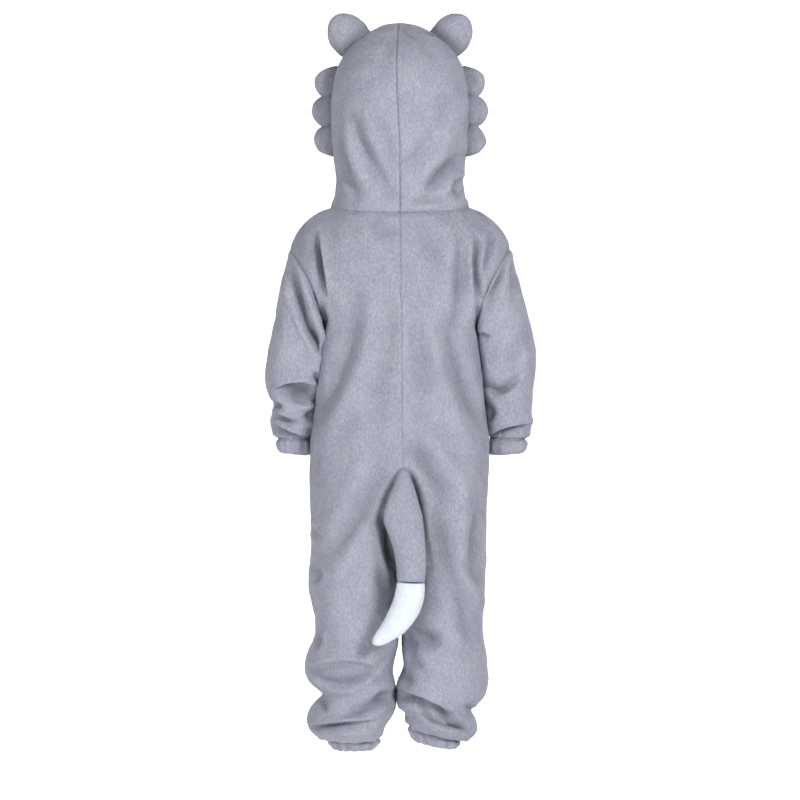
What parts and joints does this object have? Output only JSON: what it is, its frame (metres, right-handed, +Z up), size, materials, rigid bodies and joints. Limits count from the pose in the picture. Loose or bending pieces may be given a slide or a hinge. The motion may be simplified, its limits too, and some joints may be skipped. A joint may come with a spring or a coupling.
{
  "type": "hooded wolf onesie",
  "caption": "Child's hooded plush onesie in wolf shape, worn but empty, with ears, cheek tufts, gathered cuffs, front zip and white-tipped tail.",
  "frame": {"origin": "between the shoulders at the bottom of the neck, level with the lowest point of the hood seam, where the wearer carries the garment", "axes": "+Z up, the front of the garment faces -Y and the wearer's left side is +X"},
  "size_m": [0.3685, 0.2246, 1.0029],
  "materials": {
    "grey_plush": "short-pile plush fleece, cool light grey",
    "white_plush": "short-pile plush fleece, white",
    "zip_tape": "woven zip tape with moulded coil",
    "zip_metal": "satin metal"
  },
  "bodies": {
    "garment": {"front_left": "grey_plush", "back_left": "grey_plush", "sleeve_left": "grey_plush", "wrist_band_left": "grey_plush", "ankle_band_left": "grey_plush", "hood_left": "grey_plush", "ear_left": "grey_plush", "cheek_tuft_left": "grey_plush", "front_right": "grey_plush", "back_right": "grey_plush", "sleeve_right": "grey_plush", "wrist_band_right": "grey_plush", "ankle_band_right": "grey_plush", "hood_right": "grey_plush", "ear_right": "grey_plush", "cheek_tuft_right": "grey_plush", "tail": "grey_plush", "tail_tip": "white_plush", "zip": "zip_tape", "zip_slider": "zip_metal"},
    "zip_pull": {"zip_pull": "zip_metal"}
  },
  "joints": [
    {"name": "zip_pull_hinge", "type": "hinge", "parent": "garment", "child": "zip_pull", "pos_m": [0, -0.07801, -0.03969], "axis": [-1, 0, 0], "range_deg": [0, 100]}
  ]
}
